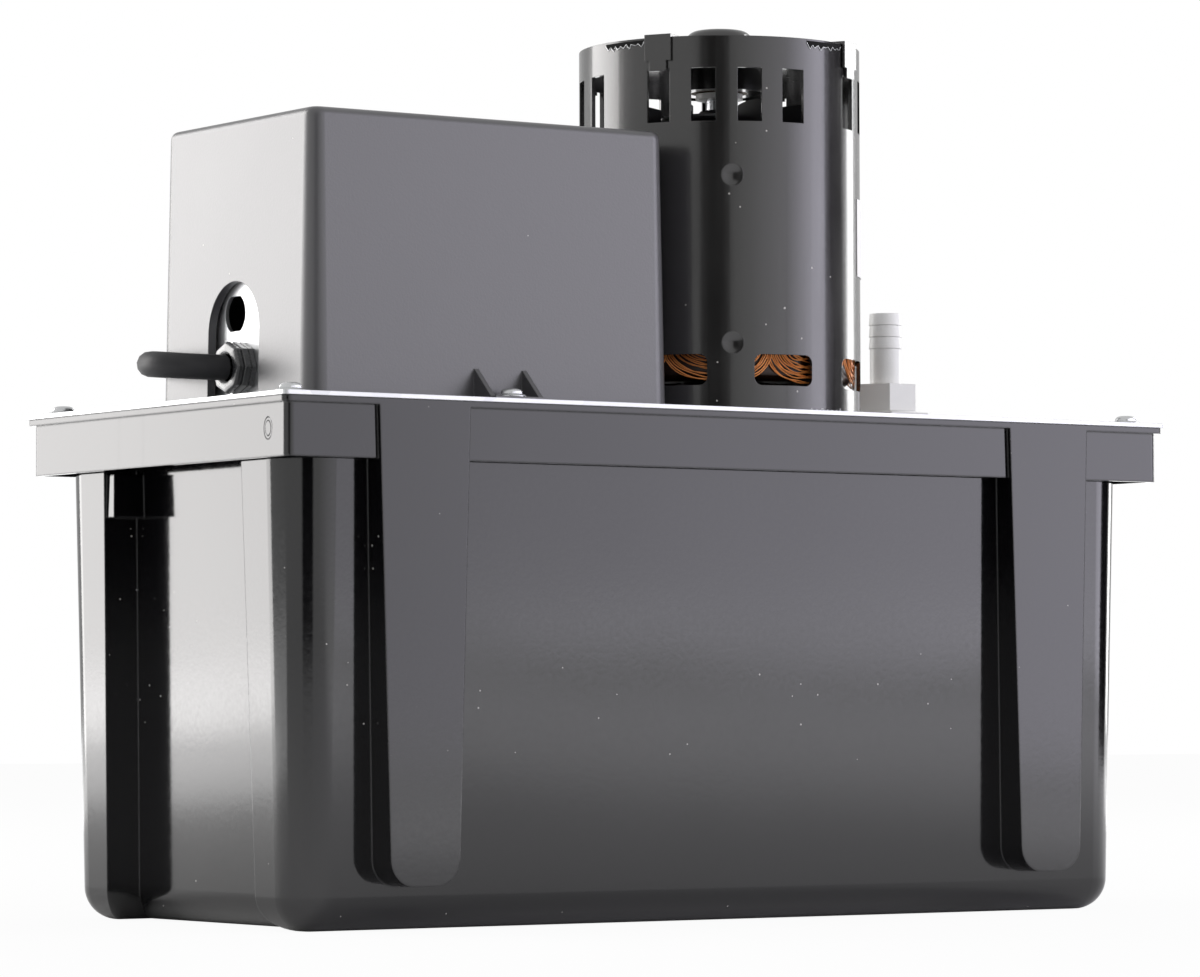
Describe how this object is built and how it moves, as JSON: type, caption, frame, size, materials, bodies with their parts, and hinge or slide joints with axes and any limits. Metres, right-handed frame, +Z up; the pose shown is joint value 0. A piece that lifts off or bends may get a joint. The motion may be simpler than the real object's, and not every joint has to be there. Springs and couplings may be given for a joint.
{
  "type": "condensate pump",
  "caption": "Condensate pump: a lidded rectangular tank with an open-frame motor and a switch box on its cover, a float switch, a submerged impeller and a check-valve outlet.",
  "frame": {"origin": "middle of the tank's bottom, on the surface that it stands on", "axes": "+Z up, +X along the tank towards the motor end, +Y across the tank, away from the side with the two plain posts that faces the viewer"},
  "size_m": [0.305, 0.2611, 0.2616],
  "materials": {
    "tank_plastic": "glossy moulded ABS",
    "cover_plastic": "fine-textured moulded ABS",
    "galvanised": "bright zinc-plated sheet",
    "zinc_screw": "bright zinc",
    "motor_paint": "gloss black baked enamel",
    "label_white": "blank label stock",
    "copper": "enamelled copper wire",
    "lamination": "stacked electrical steel",
    "rotor_metal": "cast cage and laminations",
    "shaft_steel": "ground steel",
    "bearing_bronze": "sintered bronze",
    "fan_plastic": "light grey moulding",
    "black_rubber": "satin black jacket",
    "black_nylon": "satin nylon",
    "pump_plastic": "moulded ABS",
    "impeller_plastic": "moulded acetal",
    "float_foam": "sealed light moulding",
    "white_nylon": "natural nylon",
    "switch_case": "phenolic",
    "spring_steel": "stainless wire",
    "terminal_brass": "plated brass",
    "wire_cover": "wire insulation"
  },
  "bodies": {
    "housing": {"tank": "tank_plastic", "cover_plate": "galvanised", "cover_screws": "zinc_screw", "inlet_plug": "black_nylon", "switch_cover": "cover_plastic", "switch_cover_screws": "zinc_screw", "wiring_bracket": "galvanised", "bracket_screws": "zinc_screw", "strain_relief": "black_nylon", "supply_leads": "wire_cover", "switch_bracket": "galvanised", "pivot_pin": "shaft_steel", "switch_screws": "zinc_screw", "pump_switch": "switch_case", "safety_switch": "switch_case", "switch_terminals": "terminal_brass", "rod_guide": "white_nylon", "motor_shell": "motor_paint", "motor_top_cap": "motor_paint", "motor_bottom_cap": "motor_paint", "motor_label": "label_white", "stator_core": "lamination", "stator_coils": "copper", "upper_bearing": "bearing_bronze", "lower_bearing": "bearing_bronze", "motor_screws": "zinc_screw", "motor_leads": "wire_cover", "lead_grommet": "black_rubber", "pump_column": "pump_plastic", "volute": "pump_plastic", "volute_cover": "pump_plastic", "volute_screws": "zinc_screw", "intake_screen": "pump_plastic", "discharge_pipe": "pump_plastic", "check_valve": "white_nylon", "valve_nut": "white_nylon", "valve_spring": "spring_steel", "discharge_outlet": "white_nylon", "power_cord": "black_rubber", "cord_tail": "black_rubber", "cord_coil": "black_rubber", "coil_tie": "black_nylon", "plug_body": "black_rubber", "plug_blades": "terminal_brass"},
    "rotor": {"motor_shaft": "shaft_steel", "rotor_core": "rotor_metal", "thrust_washers": "white_nylon", "cooling_fan": "fan_plastic", "water_slinger": "black_rubber", "impeller": "impeller_plastic"},
    "float_assembly": {"float": "float_foam", "float_rod": "white_nylon", "float_clips": "black_nylon", "drive_pin": "shaft_steel"},
    "rocker_arm": {"rocker": "white_nylon"},
    "pump_button": {"pump_plunger": "white_nylon"},
    "safety_button": {"safety_plunger": "white_nylon"},
    "poppet": {"valve_poppet": "black_rubber"}
  },
  "joints": [
    {"name": "rotor_spin", "type": "hinge", "parent": "housing", "child": "rotor", "pos_m": [0.0415, 0, 0.19], "axis": [0, 0, 1], "continuous": true},
    {"name": "float_rise", "type": "slide", "parent": "housing", "child": "float_assembly", "axis": [0, 0, 1], "range_m": [0, 0.024]},
    {"name": "rocker_turn", "type": "hinge", "parent": "housing", "child": "rocker_arm", "pos_m": [-0.032, 0, 0.175], "axis": [0, 1, 0], "range_deg": [0, 33.6]},
    {"name": "pump_button_press", "type": "slide", "parent": "housing", "child": "pump_button", "axis": [0, 0, 1], "range_m": [0, 0.0012]},
    {"name": "safety_button_press", "type": "slide", "parent": "housing", "child": "safety_button", "axis": [0, 0, 1], "range_m": [0, 0.0012]},
    {"name": "valve_lift", "type": "slide", "parent": "housing", "child": "poppet", "axis": [0, 0, 1], "range_m": [0, 0.004], "stiffness_N_per_m": 40, "springref_m": -0.003, "deforming": ["valve_spring"]}
  ],
  "couplings": [
    {"joint": "rocker_turn", "follows": "float_rise", "rad_per_m": 24.288},
    {"joint": "pump_button_press", "follows": "float_rise", "ratio": 0.047891},
    {"joint": "safety_button_press", "follows": "float_rise", "ratio": 0.047891}
  ]
}
